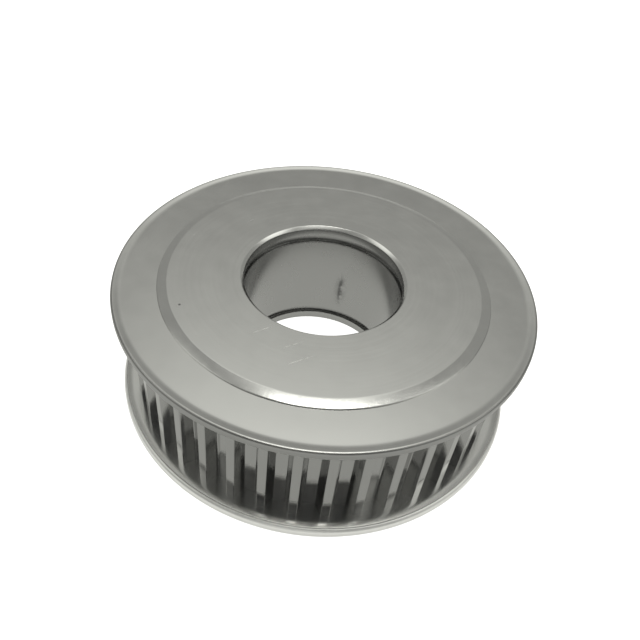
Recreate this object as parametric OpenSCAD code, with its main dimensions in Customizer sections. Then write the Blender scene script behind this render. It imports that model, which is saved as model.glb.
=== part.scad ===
// Timing belt pulley: a toothed body with a plain bearing bore, and a pressed
// flange ring held on each side by the rolled-over edge of the body.
// The bore axis is Z, and the origin is its centre, half-way across the belt.

/* [Teeth] */
// Number of belt teeth
teeth = 40; // [28:1:72]
// Belt pitch
pitch = 5; // [4.5:0.1:5.5]
// Radial distance from the belt's pitch line to the tooth tips
pitch_offset = 0.405; // [0.3:0.01:0.6]
// Length of the teeth between the two flanges
tooth_w = 18; // [11:1:34]
// Depth of a tooth gap
gap_depth = 1.95; // [1.6:0.05:2.1]
// Width of the flat bottom of a tooth gap
gap_floor_w = 1.83; // [1.6:0.01:1.9]
// Angle between the two flanks of a tooth gap
gap_angle = 50; // [44:1:54]
// Radius that rounds the tooth tips
tip_round = 0.1; // [0.05:0.05:0.4]
// Radius that rounds the corners of the gap floor
floor_round = 0.1; // [0.05:0.05:0.4]

/* [Flanges] */
// Thickness of the flange sheet
flange_t = 1.6; // [1:0.1:2]
// How far the flange stands above the tooth tips
flange_height = 2.575; // [2:0.025:5]
// Width of the bent lip round the rim of a flange
lip_w = 1.7; // [1.7:0.1:2.4]
// Angle that the lip leans away from the belt
lip_angle = 15; // [4:1:16]
// Bend radius on the outer face of the sheet
bend_r = 3; // [0.5:0.1:3]
// Radius on the two edges of the rim
rim_round = 0.4; // [0.1:0.05:0.4]

/* [Body] */
// Radius of the turned seat that carries a flange
seat_r = 26.3; // [24:0.1:26.5]
// Height of the end face above the flat of the flange
boss_h = 0.6; // [0.3:0.05:1]
// How far the rolled edge reaches over the flange
roll_over = 0.55; // [0.3:0.05:1]
// Width of the sloping band that the rolling leaves
roll_w = 1.55; // [0.8:0.05:2]
// Thickness of the rolled edge at its outside
roll_edge = 0.15; // [0.1:0.05:0.25]

/* [Bore] */
// Diameter of the bearing bore
bore_d = 26; // [20:0.5:36]
// Length of the bore between the two retaining-ring grooves
seat_len = 16; // [12:0.5:16]
// Width of a retaining-ring groove
ring_groove_w = 1.3; // [1.1:0.05:1.6]
// Diameter at the bottom of a retaining-ring groove, less the bore's own
ring_groove_extra = 1.2; // [0.8:0.1:2]
// Chamfer at each mouth of the bore
mouth_chamfer = 0.5; // [0.2:0.05:0.8]

/* [Hidden] */
$fn = 96;

pitch_r = teeth * pitch / (2 * PI);
tip_r = pitch_r - pitch_offset;
floor_r = tip_r - gap_depth;
flange_r = tip_r + flange_height;
flange_low_z = tooth_w / 2;
flange_top_z = flange_low_z + flange_t;
body_top_z = flange_top_z + boss_h;

// Points on an arc about a centre, from one angle to another.
function arc(centre, r, from, to, steps) =
    [for (i = [0 : steps]) let (a = from + (to - from) * i / steps) centre + r * [cos(a), sin(a)]];

function mirrored(points) = [for (p = points) [p[0], -p[1]]];
function backwards(points) = [for (i = [len(points) - 1 : -1 : 0]) points[i]];

// One side of a tooth gap that lies along +X: the floor fillet, the flank,
// and the rounded tip of the next tooth.
flank = gap_angle / 2;
flank_dir = [cos(flank), sin(flank)];
flank_normal = [-sin(flank), cos(flank)];
floor_corner = [floor_r, gap_floor_w / 2];
fillet_back = floor_round * tan(45 - flank / 2);
fillet_centre = [floor_r + floor_round, gap_floor_w / 2 - fillet_back];
tip_base = floor_corner + tip_round * flank_normal;
tip_along = tip_base * flank_dir;
tip_reach = sqrt(tip_along ^ 2 + (tip_r - tip_round) ^ 2 - tip_base * tip_base) - tip_along;
tip_centre = tip_base + tip_reach * flank_dir;
tip_polar = atan2(tip_centre[1], tip_centre[0]);
gap_side = concat(
    arc(fillet_centre, floor_round, 180, 90 + flank, 3),
    arc(tip_centre, tip_round, flank - 90, tip_polar, 5),
    [(tip_r + 1) * [cos(tip_polar), sin(tip_polar)]]
);

module tooth_gap() {
    linear_extrude(height = tooth_w + 2, center = true)
        polygon(concat(gap_side, backwards(mirrored(gap_side))));
}

// Half of the body's section, from the middle of the bore to the tooth tips.
bore_r = bore_d / 2;
ring_floor_r = bore_r + ring_groove_extra / 2;
groove_low_z = seat_len / 2;
groove_top_z = groove_low_z + ring_groove_w;
roll_r = seat_r + roll_over;
body_side = [
    [bore_r, groove_low_z],
    [ring_floor_r, groove_low_z],
    [ring_floor_r, groove_top_z],
    [bore_r, groove_top_z],
    [bore_r, body_top_z - mouth_chamfer],
    [bore_r + mouth_chamfer, body_top_z],
    [roll_r - roll_w, body_top_z],
    [roll_r - roll_edge, flange_top_z + roll_edge],
    [roll_r, flange_top_z],
    [seat_r, flange_top_z],
    [seat_r, flange_low_z],
    [tip_r, flange_low_z]
];

module toothed_body() {
    color("silver")
        difference() {
            rotate_extrude()
                polygon(concat(body_side, backwards(mirrored(body_side))));
            for (i = [0 : teeth - 1])
                rotate((i + 0.5) * 360 / teeth)
                    tooth_gap();
        }
}

// Section of a flange: a flat sheet, a bend, and a lip that ends in an
// upright edge with its two corners rounded.
lip_normal = [-sin(lip_angle), cos(lip_angle)];
bend_centre = [flange_r - lip_w, flange_top_z + bend_r];
rim_x = flange_r - rim_round;
function rim_centre(bend_end, down) =
    [rim_x, bend_end[1] + (rim_x - bend_end[0]) * tan(lip_angle) - down / cos(lip_angle)];
rim_top = rim_centre(bend_centre - bend_r * lip_normal, rim_round);
rim_low = rim_centre(bend_centre - (bend_r + flange_t) * lip_normal, -rim_round);
flange_side = concat(
    [[seat_r, flange_low_z], [seat_r, flange_top_z]],
    arc(bend_centre, bend_r, -90, lip_angle - 90, 4),
    arc(rim_top, rim_round, lip_angle + 90, 0, 6),
    arc(rim_low, rim_round, 0, lip_angle - 90, 6),
    arc(bend_centre, bend_r + flange_t, lip_angle - 90, -90, 4)
);

module flange() {
    color("gainsboro")
        rotate_extrude()
            polygon(flange_side);
}

module upper_flange() {
    flange();
}

module lower_flange() {
    mirror([0, 0, 1])
        flange();
}

toothed_body();
upper_flange();
lower_flange();
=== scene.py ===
import math

import bmesh
import bpy
from mathutils import Matrix, Vector, noise


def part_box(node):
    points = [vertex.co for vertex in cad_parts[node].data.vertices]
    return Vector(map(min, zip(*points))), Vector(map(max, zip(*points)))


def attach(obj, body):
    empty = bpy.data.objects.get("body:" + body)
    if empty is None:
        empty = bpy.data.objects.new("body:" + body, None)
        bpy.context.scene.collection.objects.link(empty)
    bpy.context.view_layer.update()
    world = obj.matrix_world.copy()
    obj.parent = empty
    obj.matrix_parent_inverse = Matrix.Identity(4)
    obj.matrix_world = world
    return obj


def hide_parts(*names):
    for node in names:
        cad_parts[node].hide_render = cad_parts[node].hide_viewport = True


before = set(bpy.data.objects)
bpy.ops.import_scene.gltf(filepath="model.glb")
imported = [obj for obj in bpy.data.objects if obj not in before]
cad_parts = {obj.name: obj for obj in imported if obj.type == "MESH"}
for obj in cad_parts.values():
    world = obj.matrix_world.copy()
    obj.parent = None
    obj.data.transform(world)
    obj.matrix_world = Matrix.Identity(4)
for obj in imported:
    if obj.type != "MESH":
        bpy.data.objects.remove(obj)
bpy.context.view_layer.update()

# ---------------------------------------------------------------------------
# Toothed body. One piece of aluminium bar, turned all over, hobbed with forty
# straight belt teeth and bored right through for bearings. Its two end bosses
# pass through the flanges, and their rims are rolled over to grip them.
# ---------------------------------------------------------------------------

MM = 0.001
body_low, body_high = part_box("toothed_body")
end_z = body_high.z

teeth = 40
half_pitch = math.pi / teeth
tip_r = 31.425 * MM
floor_r = tip_r - 1.95 * MM
floor_half = 0.915 * MM
flank_angle = math.radians(25)
tooth_round = 0.14 * MM
floor_round = 0.16 * MM
tooth_end_z = 9.0 * MM

bore_r = 13.0 * MM
ring_floor_r = 13.6 * MM
ring_low_z = 8.0 * MM
ring_high_z = 9.3 * MM
mouth_chamfer = 0.5 * MM

seat_r = 26.3 * MM
seat_top_z = 10.6 * MM
roll_r = 26.85 * MM
roll_inner_r = 25.3 * MM
face_ring_radii = (17 * MM, 21 * MM)
tooth_end_ring_r = 28.6 * MM


def arc_points(centre, radius, start, end, steps):
    """Points on an arc from one angle to another, both ends included."""
    angles = [start + (end - start) * i / steps for i in range(steps + 1)]
    return [(centre[0] + radius * math.cos(a), centre[1] + radius * math.sin(a)) for a in angles]


def between(a, b, shares):
    """Points on the way from a to b."""
    return [(a[0] + (b[0] - a[0]) * s, a[1] + (b[1] - a[1]) * s) for s in shares]


def half_tooth_gap():
    """Outline (r, angle) from the middle of a tooth gap, along +X, to the middle of the next land."""
    along = (math.cos(flank_angle), math.sin(flank_angle))
    normal = (-along[1], along[0])
    fillet_y = floor_half - floor_round * math.tan(math.pi / 4 - flank_angle / 2)
    fillet_centre = (floor_r + floor_round, fillet_y)
    fillet = arc_points(fillet_centre, floor_round, math.pi, math.pi / 2 + flank_angle, 5)
    base = (floor_r + tooth_round * normal[0], floor_half + tooth_round * normal[1])
    base_along = base[0] * along[0] + base[1] * along[1]
    inner = tip_r - tooth_round
    reach = math.sqrt(base_along ** 2 + inner ** 2 - base[0] ** 2 - base[1] ** 2) - base_along
    centre = (base[0] + reach * along[0], base[1] + reach * along[1])
    tip_angle = math.atan2(centre[1], centre[0])
    tip = arc_points(centre, tooth_round, flank_angle - math.pi / 2, tip_angle, 6)
    floor = between((floor_r, 0), fillet[0], (0, 0.25, 0.5, 0.75, 0.94))
    flank = between(fillet[-1], tip[0], (0.04, 0.25, 0.5, 0.75, 0.96))
    outline = [(math.hypot(x, y), math.atan2(y, x)) for x, y in floor + fillet + flank + tip]
    land_start = outline[-1][1]
    land = [(tip_r, land_start + (half_pitch - land_start) * s) for s in (0.08, 0.4, 0.7, 1)]
    return outline + land


half_gap = half_tooth_gap()
one_pitch = [(r, -a) for r, a in reversed(half_gap[1:])] + half_gap[:-1]
tooth_outline = [
    (r, a + (2 * i + 1) * half_pitch)
    for i in range(teeth)
    for r, a in one_pitch
]


def rounded(corners, steps=4):
    """A section's corners (r, z, radius) as points, with each corner rounded off."""
    points = []
    for i, (x, y, radius) in enumerate(corners):
        here = Vector((x, y))
        if radius == 0:
            points.append((x, y))
            continue
        back = (Vector(corners[i - 1][:2]) - here).normalized()
        ahead = (Vector(corners[(i + 1) % len(corners)][:2]) - here).normalized()
        half = back.angle(ahead) / 2
        cut = radius / math.tan(half)
        centre = here + (back + ahead).normalized() * radius / math.sin(half)
        first = here + back * cut - centre
        turn = (here + ahead * cut - centre).angle_signed(first)
        for s in range(steps + 1):
            spoke = first.copy()
            spoke.rotate(Matrix.Rotation(turn * s / steps, 2))
            points.append(tuple(centre + spoke))
    return points


upper_inside = [
    (bore_r, ring_low_z - 0.25 * MM, 0.0),
    (bore_r, ring_low_z, 0.06 * MM),
    (ring_floor_r, ring_low_z, 0.04 * MM),
    (ring_floor_r, ring_high_z, 0.04 * MM),
    (bore_r, ring_high_z, 0.06 * MM),
    (bore_r, end_z - mouth_chamfer, 0.25 * MM),
    (bore_r + mouth_chamfer, end_z, 0.12 * MM),
    (bore_r + mouth_chamfer + 0.2 * MM, end_z, 0.0),
    *[(r, end_z, 0.0) for r in face_ring_radii],
    (roll_inner_r - 0.3 * MM, end_z, 0.0),
    (roll_inner_r, end_z, 0.6 * MM),
    (roll_r - 0.12 * MM, seat_top_z + 0.2 * MM, 0.1 * MM),
    (roll_r, seat_top_z, 0.0),
    (seat_r, seat_top_z, 0.0),
    (seat_r, tooth_end_z, 0.0),
]
lower_inside = [(r, -z, radius) for r, z, radius in reversed(upper_inside)]
section = rounded([(bore_r, 0, 0)] + upper_inside + lower_inside)
upper_seat = section.index((seat_r, tooth_end_z))
lower_seat = section.index((seat_r, -tooth_end_z))


def body_rings():
    """Rings of points round the axis, as (z, r). Where r is None, the ring follows the teeth."""
    rings = [(z, r) for r, z in section[:upper_seat + 1]]
    rings.append((tooth_end_z, tooth_end_ring_r))
    heights = [1, 0.98, 0.9, 0.6, 0.3, 0, -0.3, -0.6, -0.9, -0.98, -1]
    rings += [(tooth_end_z * h, None) for h in heights]
    rings.append((-tooth_end_z, tooth_end_ring_r))
    rings += [(z, r) for r, z in section[lower_seat:]]
    return rings


def rolling_marks(r, z, angle):
    """How far the rolling tool left the rim of a boss from its true section."""
    if r < roll_inner_r - 0.5 * MM or abs(z) < seat_top_z:
        return 0.0
    spot = Vector((math.cos(angle) * 5, math.sin(angle) * 5, math.copysign(3, z)))
    fine = Vector((math.cos(angle) * 45, math.sin(angle) * 45, r * 2500))
    return 0.06 * MM * noise.noise(spot) + 0.012 * MM * noise.noise(fine)


body_mesh = bpy.data.meshes.new("toothed_body_shape")
bm = bmesh.new()
loops = []
for z, r in body_rings():
    loop = []
    for tooth_radius, angle in tooth_outline:
        radius = tooth_radius if r is None else r + rolling_marks(r, z, angle)
        loop.append(bm.verts.new((radius * math.cos(angle), radius * math.sin(angle), z)))
    loops.append(loop)
loops.append(loops[0])
TURNED, BORED, ROLLED, HOBBED = range(4)
for lower, upper in zip(loops, loops[1:]):
    mid_z = abs(lower[0].co.z + upper[0].co.z) / 2
    mid_r = (lower[0].co.xy.length + upper[0].co.xy.length) / 2
    if mid_r < bore_r + 0.7 * MM and mid_z < end_z - mouth_chamfer:
        finish = BORED
    elif mid_z > seat_top_z - 0.01 * MM and mid_r > roll_inner_r - 0.1 * MM:
        finish = ROLLED
    elif mid_r > 28 * MM:
        finish = HOBBED
    else:
        finish = TURNED
    for i in range(len(lower)):
        j = (i + 1) % len(lower)
        face = bm.faces.new((lower[i], upper[i], upper[j], lower[j]))
        face.material_index = finish
        face.smooth = True
for edge in bm.edges:
    first, last = edge.verts
    if abs(abs(first.co.z) - tooth_end_z) < 1e-6 and abs(last.co.z - first.co.z) < 1e-6:
        edge.smooth = False
bmesh.ops.recalc_face_normals(bm, faces=bm.faces)
bm.to_mesh(body_mesh)
bm.free()

body = bpy.data.objects.new("pulley_body", body_mesh)
bpy.context.scene.collection.objects.link(body)
weighted = body.modifiers.new("flat_faces_stay_flat", "WEIGHTED_NORMAL")
weighted.keep_sharp = True


class Finish:
    """A material and short ways to add its nodes."""

    def __init__(self, name, colour, roughness):
        self.material = bpy.data.materials.new(name)
        self.material.use_nodes = True
        self.nodes = self.material.node_tree.nodes
        self.links = self.material.node_tree.links
        self.shader = self.nodes["Principled BSDF"]
        self.shader.inputs["Metallic"].default_value = 1.0
        self.shader.inputs["Base Color"].default_value = (*colour, 1)
        self.shader.inputs["Roughness"].default_value = roughness
        self.place = self.nodes.new("ShaderNodeTexCoord").outputs["Object"]

    def math(self, kind, *values):
        """Arithmetic on links and numbers."""
        node = self.nodes.new("ShaderNodeMath")
        node.operation = kind
        self.fill(node, values)
        return node.outputs[0]

    def vector(self, kind, *values):
        """Arithmetic on places and directions."""
        node = self.nodes.new("ShaderNodeVectorMath")
        node.operation = kind
        self.fill(node, values)
        return node.outputs["Value" if kind in ("LENGTH", "DOT_PRODUCT") else "Vector"]

    def fill(self, node, values):
        """Give a node's sockets their values in order, each of them a link or a number."""
        for socket, value in zip(node.inputs, values):
            if isinstance(value, bpy.types.NodeSocket):
                self.links.new(value, socket)
            else:
                socket.default_value = value

    def round_the_axis(self, around, along_r, along_z):
        """A place that changes slowly round the axis and quickly with the radius or the height."""
        split = self.nodes.new("ShaderNodeSeparateXYZ")
        self.links.new(self.place, split.inputs["Vector"])
        x, y, z = split.outputs
        radius = self.vector("LENGTH", self.vector("MULTIPLY", self.place, (1, 1, 0)))
        outward = self.math("MULTIPLY", radius, along_r)
        join = self.nodes.new("ShaderNodeCombineXYZ")
        self.links.new(self.math("MULTIPLY", x, around), join.inputs["X"])
        self.links.new(self.math("MULTIPLY", y, around), join.inputs["Y"])
        self.links.new(self.math("MULTIPLY_ADD", z, along_z, outward), join.inputs["Z"])
        return join.outputs["Vector"]

    def clouds(self, place, scale, detail=2.0, roughness=0.5):
        """Soft noise, mostly between 0.3 and 0.7."""
        node = self.nodes.new("ShaderNodeTexNoise")
        self.links.new(place, node.inputs["Vector"])
        node.inputs["Scale"].default_value = scale
        node.inputs["Detail"].default_value = detail
        node.inputs["Roughness"].default_value = roughness
        return node.outputs["Fac"]

    def spread(self, value, low, high):
        """A value that runs from about 0.3 to 0.7 turned into one from low to high."""
        node = self.nodes.new("ShaderNodeMapRange")
        node.inputs["From Min"].default_value = 0.3
        node.inputs["From Max"].default_value = 0.7
        node.inputs["To Min"].default_value = low
        node.inputs["To Max"].default_value = high
        self.links.new(value, node.inputs["Value"])
        return node.outputs["Result"]

    def tint(self, amount, dark, light):
        """A colour between dark and light."""
        node = self.nodes.new("ShaderNodeMix")
        node.data_type = "RGBA"
        self.links.new(amount, node.inputs["Factor"])
        node.inputs["A"].default_value = (*dark, 1)
        node.inputs["B"].default_value = (*light, 1)
        return node.outputs["Result"]

    def bump(self, height, depth, under=None):
        """A surface with this height, which may lie over another bump."""
        node = self.nodes.new("ShaderNodeBump")
        node.inputs["Distance"].default_value = depth
        self.links.new(height, node.inputs["Height"])
        if under is not None:
            self.links.new(under, node.inputs["Normal"])
        return node.outputs["Normal"]

    def fade(self, value, start, end):
        """0 where value is start or beyond, 1 where it is end or beyond, and smooth between."""
        node = self.nodes.new("ShaderNodeMapRange")
        node.interpolation_type = "SMOOTHSTEP"
        node.inputs["From Min"].default_value = start
        node.inputs["From Max"].default_value = end
        self.links.new(value, node.inputs["Value"])
        return node.outputs["Result"]

    def scratch(self, start, end, width):
        """1 on a thin broken line from start to end, and 0 elsewhere."""
        first, last = Vector(start), Vector(end)
        ahead = (last - first).normalized()
        offset = self.vector("SUBTRACT", self.place, tuple(first))
        across = self.math("ABSOLUTE", self.vector("DOT_PRODUCT", offset, (-ahead.y, ahead.x, 0)))
        along = self.vector("DOT_PRODUCT", offset, tuple(ahead))
        length = (last - first).length
        level = self.fade(self.vector("DOT_PRODUCT", offset, (0, 0, 1)), -1.0 * MM, -0.3 * MM)
        line = self.math("MULTIPLY", self.fade(across, width, width * 0.2), level)
        near_end = self.fade(along, 0, length * 0.3)
        far_end = self.fade(along, length, length * 0.6)
        ends = self.math("MULTIPLY", near_end, far_end)
        broken = self.fade(self.clouds(self.place, 1400.0), 0.35, 0.6)
        return self.math("MULTIPLY", self.math("MULTIPLY", line, ends), broken)

    def spot(self, centre, radius, squash=(1, 1, 1)):
        """1 in the middle of a round or drawn-out spot, and 0 outside it."""
        here = self.vector("MULTIPLY", self.vector("SUBTRACT", self.place, centre), squash)
        return self.fade(self.vector("LENGTH", here), radius, radius * 0.4)

    def mark(self, where, roughness, colour, strength):
        """Change the finish where a mark is, on top of what is already there."""
        clean_roughness = self.shader.inputs["Roughness"].links[0].from_socket
        clean_colour = self.shader.inputs["Base Color"].links[0].from_socket
        node = self.nodes.new("ShaderNodeMix")
        node.data_type = "RGBA"
        self.links.new(self.math("MULTIPLY", where, strength), node.inputs["Factor"])
        self.links.new(clean_colour, node.inputs["A"])
        node.inputs["B"].default_value = (*colour, 1)
        self.dress(node.outputs["Result"], self.math("MULTIPLY_ADD", where, roughness, clean_roughness))

    def dress(self, colour=None, roughness=None, normal=None):
        """Link finished values to the shader."""
        for socket, value in (("Base Color", colour), ("Roughness", roughness), ("Normal", normal)):
            if value is not None:
                self.links.new(value, self.shader.inputs[socket])
        return self


def turned_aluminium(name, base, roughness, around, along_r, along_z, depth):
    """Bare aluminium with fine tool marks, which run the way the tool passed."""
    metal = Finish(name, base, roughness)
    lay = metal.round_the_axis(around, along_r, along_z)
    marks = metal.clouds(lay, 1.0, 3.0, 0.6)
    patches = metal.clouds(metal.place, 260.0, 3.0, 0.55)
    grain = metal.clouds(metal.place, 5200.0, 1.0)
    light = tuple(min(1.0, c * 1.03) for c in base)
    dark = tuple(c * 0.97 for c in base)
    mixed = metal.math("ADD", metal.math("MULTIPLY", marks, 0.45), metal.math("MULTIPLY", patches, 0.55))
    colour = metal.tint(metal.spread(mixed, 0.0, 1.0), dark, light)
    rough_marks = metal.spread(marks, roughness - 0.015, roughness + 0.015)
    rough = metal.math("ADD", rough_marks, metal.spread(patches, -0.02, 0.02))
    fine = metal.bump(grain, depth * 0.4)
    return metal.dress(colour, rough, metal.bump(marks, depth, fine))


bright = (0.8, 0.8, 0.79)
stain = (0.1, 0.1, 0.1)

end_face = turned_aluminium("turned_end_face", bright, 0.24, 30, 5200, 0, 0.0008 * MM)
scratch_w = 0.13 * MM
scratches = (
    ((-9.3, -14.9), (-6.4, -12.9)),
    ((-4.9, -17.4), (-1.4, -15.1)),
    ((-4.0, -20.5), (0.6, -17.5)),
)
for ends in scratches:
    start, end = [(x * MM, y * MM, end_z) for x, y in ends]
    end_face.mark(end_face.scratch(start, end, scratch_w), 0.25, (1.0, 1.0, 0.99), 0.9)
speck = (-21.15 * MM, -11.0 * MM, end_z)
end_face.mark(end_face.spot(speck, 0.28 * MM), 0.3, stain, 0.8)

# The bore is the same aluminium as the turned faces; its much darker base is painted shade inside the
# bore.
bored = turned_aluminium("bored_wall_painted_shade", (0.35, 0.35, 0.346), 0.26, 260, 0, 30, 0.0006 * MM)
rub_angle = math.radians(75.5)
rub_x, rub_y = bore_r * math.cos(rub_angle), bore_r * math.sin(rub_angle)
worn = bored.fade(bored.clouds(bored.place, 900.0, 3.0), 0.35, 0.6)
dark_rub = (-2.6 * MM, 0.62 * MM, 0.16, 0.75)
faint_rub = (-2.4 * MM, 1.5 * MM, 0.32, 0.2)
for z, radius, flatten, strength in (dark_rub, faint_rub):
    patch = bored.spot((rub_x, rub_y, z), radius, (1, 1, flatten))
    bored.mark(bored.math("MULTIPLY", patch, worn), 0.08, stain, strength)

rolled = turned_aluminium("rolled_rim", bright, 0.18, 700, 900, 0, 0.004 * MM)
peck_angle = math.radians(-58)
peck_way = (math.cos(peck_angle), math.sin(peck_angle), 0)
pecked = rolled.fade(rolled.vector("DOT_PRODUCT", rolled.place, peck_way), 25.0 * MM, 26.3 * MM)
pecks = rolled.fade(rolled.clouds(rolled.place, 5200.0, 2.0), 0.35, 0.65)
rolled.dress(normal=rolled.bump(rolled.math("MULTIPLY", pecks, pecked), 0.0065 * MM))

# The teeth are the same aluminium as the turned faces; their much darker base is painted shade between
# the flanges.
hobbed = turned_aluminium("hobbed_teeth_painted_shade", (0.36, 0.36, 0.355), 0.11, 2600, 0, 30, 0.0008 * MM)
for metal in (end_face, bored, rolled, hobbed):
    body_mesh.materials.append(metal.material)
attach(body, "root")
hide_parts("toothed_body")

# ---------------------------------------------------------------------------
# Flanges. Two rings pressed from zinc-plated steel sheet, with a lip bent away
# from the belt. Each is pushed over a boss until it meets the ends of the teeth.
# The rolled rim of the boss then holds it.
# ---------------------------------------------------------------------------

flange_low, flange_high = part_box("upper_flange")
rim_r = flange_high.x
sheet_low_z = flange_low.z
sheet = 1.6 * MM
lip_angle = math.radians(15)
lip_w = 1.7 * MM
bend_r = 3.0 * MM
rim_round = 0.4 * MM
belt_round = 0.75 * MM
hole_round = 0.15 * MM
wave_from_r = 29 * MM
wave_depth = 0.05 * MM
round_steps = 720


def flange_section():
    """Points round the sheet, with the outer face up, the lip leaning up and its rim upright."""
    top_z = sheet_low_z + sheet
    normal = Vector((-math.sin(lip_angle), math.cos(lip_angle)))
    bend = Vector((rim_r - lip_w, top_z + bend_r))
    down, level = -math.pi / 2, lip_angle
    rims = []
    for reach, corner, way in ((bend_r, rim_round, 1), (bend_r + sheet, belt_round, -1)):
        end = bend - reach * normal
        rim_x = rim_r - corner
        rims.append((rim_x, end.y + (rim_x - end.x) * math.tan(level) - way * corner / math.cos(level)))
    top_corner = (seat_r + hole_round, top_z - hole_round)
    points = arc_points(top_corner, hole_round, math.pi, math.pi / 2, 4)
    points += between((seat_r, top_z), (bend.x, top_z), (0.1, 0.4, 0.7, 0.96))
    points += arc_points(bend, bend_r, down, down + level, 8)
    points += arc_points(rims[0], rim_round, level - down, 0, 10)
    points += arc_points(rims[1], belt_round, 0, level + down, 12)
    points += arc_points(bend, bend_r + sheet, down + level, down, 8)
    points += between((bend.x, sheet_low_z), (seat_r, sheet_low_z), (0.04, 0.3, 0.7, 0.9))
    low_corner = (seat_r + hole_round, sheet_low_z + hole_round)
    points += arc_points(low_corner, hole_round, -math.pi / 2, -math.pi, 4)
    return points


def flange_mesh(name, side, seed, edge_depth):
    """A ring of the section. side is 1 for the upper flange and -1 for the lower one."""
    mesh = bpy.data.meshes.new(name)
    ring = bmesh.new()
    rows = []
    for i in range(round_steps):
        angle = 2 * math.pi * i / round_steps
        c, s = math.cos(angle), math.sin(angle)
        lean = noise.noise(Vector((c * 1.3, s * 1.3, seed))) * wave_depth
        row = []
        for r, z in flange_section():
            share = max(0.0, (r - wave_from_r) / (rim_r - wave_from_r))
            row.append(ring.verts.new((r * c, r * s, side * (z - abs(lean) * share ** 2))))
        rows.append(row)
    count = len(rows[0])
    for i in range(round_steps):
        here, ahead = rows[i], rows[(i + 1) % round_steps]
        for k in range(count):
            n = (k + 1) % count
            face = ring.faces.new((here[k], here[n], ahead[n], ahead[k]))
            face.smooth = True
            sheared = min(here[k].co.xy.length, here[n].co.xy.length) > rim_r - edge_depth
            face.material_index = 1 if sheared else 0
    bmesh.ops.recalc_face_normals(ring, faces=ring.faces)
    ring.to_mesh(mesh)
    ring.free()
    return mesh


def plated_sheet(name, base, roughness):
    """Zinc plate over rolled sheet: a soft grain, faint cloudy patches and fine rings from the press."""
    metal = Finish(name, base, roughness)
    patches = metal.clouds(metal.place, 180.0, 4.0, 0.6)
    grain = metal.clouds(metal.place, 7000.0, 1.0)
    pressed = metal.clouds(metal.round_the_axis(60, 2600, 0), 1.0, 2.0)
    light = tuple(min(1.0, c * 1.03) for c in base)
    dark = tuple(c * 0.97 for c in base)
    colour = metal.tint(metal.spread(patches, 0.0, 1.0), dark, light)
    rough_patches = metal.spread(patches, roughness - 0.035, roughness + 0.035)
    rough = metal.math("ADD", rough_patches, metal.spread(grain, -0.02, 0.02))
    fine = metal.bump(grain, 0.0002 * MM)
    return metal.dress(colour, rough, metal.bump(pressed, 0.0006 * MM, fine))


plate = plated_sheet("zinc_plated_face", bright, 0.2)
# Both flanges have the same cut rim. The upper one's dark base is partly bare cut steel and partly
# painted shade. The lower one's pale base is a painted highlight.
cut_edge = turned_aluminium("sheared_rim_painted_shade", (0.33, 0.33, 0.326), 0.34, 900, 0, 300, 0.003 * MM)
lower_edge_painted_highlight = turned_aluminium("rim_painted_highlight", (0.92, 0.92, 0.91), 0.4, 900, 0, 300, 0.003 * MM)
upper = ("upper_flange", 1, 0.3, cut_edge, 0.35 * MM)
lower = ("lower_flange", -1, 7.1, lower_edge_painted_highlight, 0.8 * MM)
for node, side, seed, edge, edge_depth in (upper, lower):
    flange = bpy.data.objects.new(node + "_ring", flange_mesh(node + "_shape", side, seed, edge_depth))
    bpy.context.scene.collection.objects.link(flange)
    flange.data.materials.append(plate.material)
    flange.data.materials.append(edge.material)
    flange.modifiers.new("flat_faces_stay_flat", "WEIGHTED_NORMAL")
    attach(flange, "root")
    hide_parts(node)

# ---------------------------------------------------------------------------
# Table, light and camera. The pulley lies on one boss on a plain pale table,
# under one wide soft light overhead, and is seen from above the front.
# ---------------------------------------------------------------------------


def flat_panel(name, left, right, front, back, height, base, roughness):
    """A flat rectangle in one plain colour."""
    mesh = bpy.data.meshes.new(name + "_shape")
    corners = [(left, front), (right, front), (right, back), (left, back)]
    mesh.from_pydata([(x, y, height) for x, y in corners], [], [(0, 1, 2, 3)])
    paint = bpy.data.materials.new(name + "_surface")
    paint.use_nodes = True
    shader = paint.node_tree.nodes["Principled BSDF"]
    shader.inputs["Base Color"].default_value = (base, base, base, 1)
    shader.inputs["Roughness"].default_value = roughness
    mesh.materials.append(paint)
    panel = bpy.data.objects.new(name, mesh)
    bpy.context.scene.collection.objects.link(panel)
    return panel


far = 2.5
table = flat_panel("table", -far, far, -far, far, body_low.z, 0.9, 0.9)
table_shader = table.active_material.node_tree.nodes["Principled BSDF"]
table_shader.inputs["Emission Color"].default_value = (1, 1, 1, 1)
table_shader.inputs["Emission Strength"].default_value = 0.9
table.visible_glossy = False


def softbox(name, radiance, distance, left, right, back, front):
    """A rectangular light overhead, whose edges stand this many degrees from straight up."""
    light = bpy.data.lights.new(name, "AREA")
    light.shape = "RECTANGLE"
    x0, x1 = (distance * math.tan(math.radians(a)) for a in (-left, right))
    y0, y1 = (distance * math.tan(math.radians(a)) for a in (-front, back))
    light.size = x1 - x0
    light.size_y = y1 - y0
    light.energy = radiance * math.pi * light.size * light.size_y
    light.color = (1.0, 0.995, 0.93)
    lamp = bpy.data.objects.new(name, light)
    lamp.location = ((x0 + x1) / 2, (y0 + y1) / 2, distance)
    bpy.context.scene.collection.objects.link(lamp)


softbox("bright_window", radiance=2.7, distance=1.5, left=9, right=15, back=5, front=18)

world = bpy.data.worlds.new("studio")
world.use_nodes = True
room = world.node_tree
way = room.nodes.new("ShaderNodeTexCoord").outputs["Generated"]
split = room.nodes.new("ShaderNodeSeparateXYZ")
room.links.new(way, split.inputs["Vector"])
toward_x, toward_y, toward_z = split.outputs


def fade(value, start, end, low, high):
    """A smooth change from low to high as value goes from start to end."""
    node = room.nodes.new("ShaderNodeMapRange")
    node.interpolation_type = "SMOOTHSTEP"
    room.links.new(value, node.inputs["Value"])
    for label, number in (("From Min", start), ("From Max", end), ("To Min", low), ("To Max", high)):
        node.inputs[label].default_value = number
    return node.outputs["Result"]


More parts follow.
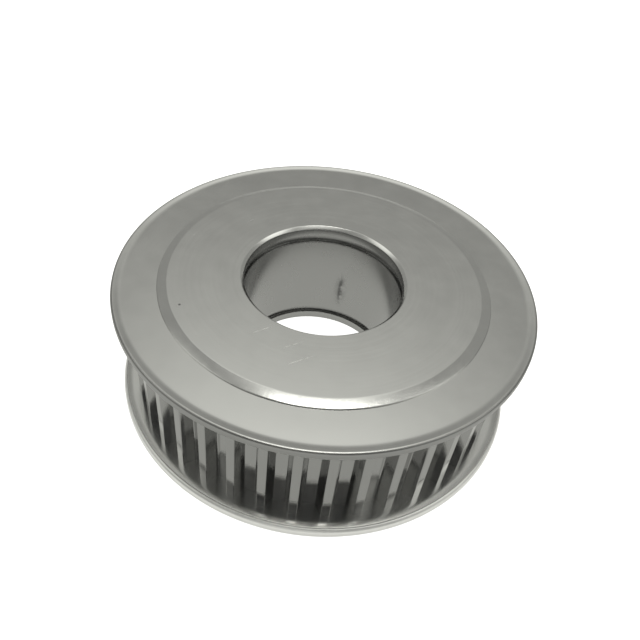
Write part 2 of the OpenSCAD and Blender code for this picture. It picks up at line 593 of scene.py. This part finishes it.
def combine(kind, a, b):
    """One Math node over two values, each of them a link or a number."""
    node = room.nodes.new("ShaderNodeMath")
    node.operation = kind
    for socket, value in zip(node.inputs, (a, b)):
        if isinstance(value, bpy.types.NodeSocket):
            room.links.new(value, socket)
        else:
            socket.default_value = value
    return node.outputs[0]


# A band of light overhead, which leans a little to the left at the back.
lean = combine("MULTIPLY", toward_y, 0.17)
skew = combine("ADD", lean, combine("SUBTRACT", toward_x, 0.08))
across = fade(combine("ABSOLUTE", skew, 0), 0.44, 0.08, 0, 1)
glow = combine("MULTIPLY", fade(toward_y, 0.82, 0.45, 0, 0.6), across)
glow = combine("MULTIPLY", glow, fade(toward_y, -0.75, -0.5, 0, 1))
glow = combine("MULTIPLY", glow, fade(toward_z, 0, 0.2, 0, 1))
glow = combine("ADD", glow, fade(toward_z, -0.1, 0.1, 0, 0.28))

# Light from the pale table, for the metal only.
from_table = combine("MULTIPLY", fade(toward_z, -0.9, -0.6, 0.63, 0.82), fade(toward_z, 0.1, -0.1, 0, 1))
glow = combine("ADD", glow, from_table)

# Three soft patches of light: to the right, to the left and low in front.
soft_patches = (((0.7, 0.0, 0.714), 1.0), ((-0.69, 0.0, 0.724), 0.8), ((0.0, -0.87, 0.493), 0.7))
for direction, brightness in soft_patches:
    facing = room.nodes.new("ShaderNodeVectorMath")
    facing.operation = "DOT_PRODUCT"
    room.links.new(way, facing.inputs[0])
    facing.inputs[1].default_value = direction
    glow = combine("ADD", glow, fade(facing.outputs["Value"], 0.93, 0.99, 0, brightness))
room.links.new(glow, room.nodes["Background"].inputs["Strength"])
room.nodes["Background"].inputs["Color"].default_value = (1.0, 1.005, 0.94, 1)
bpy.context.scene.world = world
bpy.context.scene.view_settings.view_transform = "Standard"

lens = bpy.data.cameras.new("camera")
lens.lens = 37.54
lens.sensor_width = 36
lens.shift_x = 0.0675
lens.shift_y = -0.0063
lens.clip_start = 0.005
camera = bpy.data.objects.new("camera", lens)
bpy.context.scene.collection.objects.link(camera)
camera.location = (0.00082, -0.08274, 0.08151)
aim = Vector((-0.00723, 0.00002, 0.00075))
roll = math.radians(3.68)
look = (aim - camera.location).to_track_quat("-Z", "Y").to_matrix()
camera.rotation_euler = (look @ Matrix.Rotation(roll, 3, "Z")).to_euler()
bpy.context.scene.camera = camera

# A dark card just behind the camera, which the tooth gaps and the flanges reflect.
card = flat_panel("dark_card", -0.06, 0.06, -0.045, 0.03, 0.012, 0.04, 0.8)
card.location = camera.location
card.rotation_euler = camera.rotation_euler
card.visible_camera = False
card.visible_shadow = False
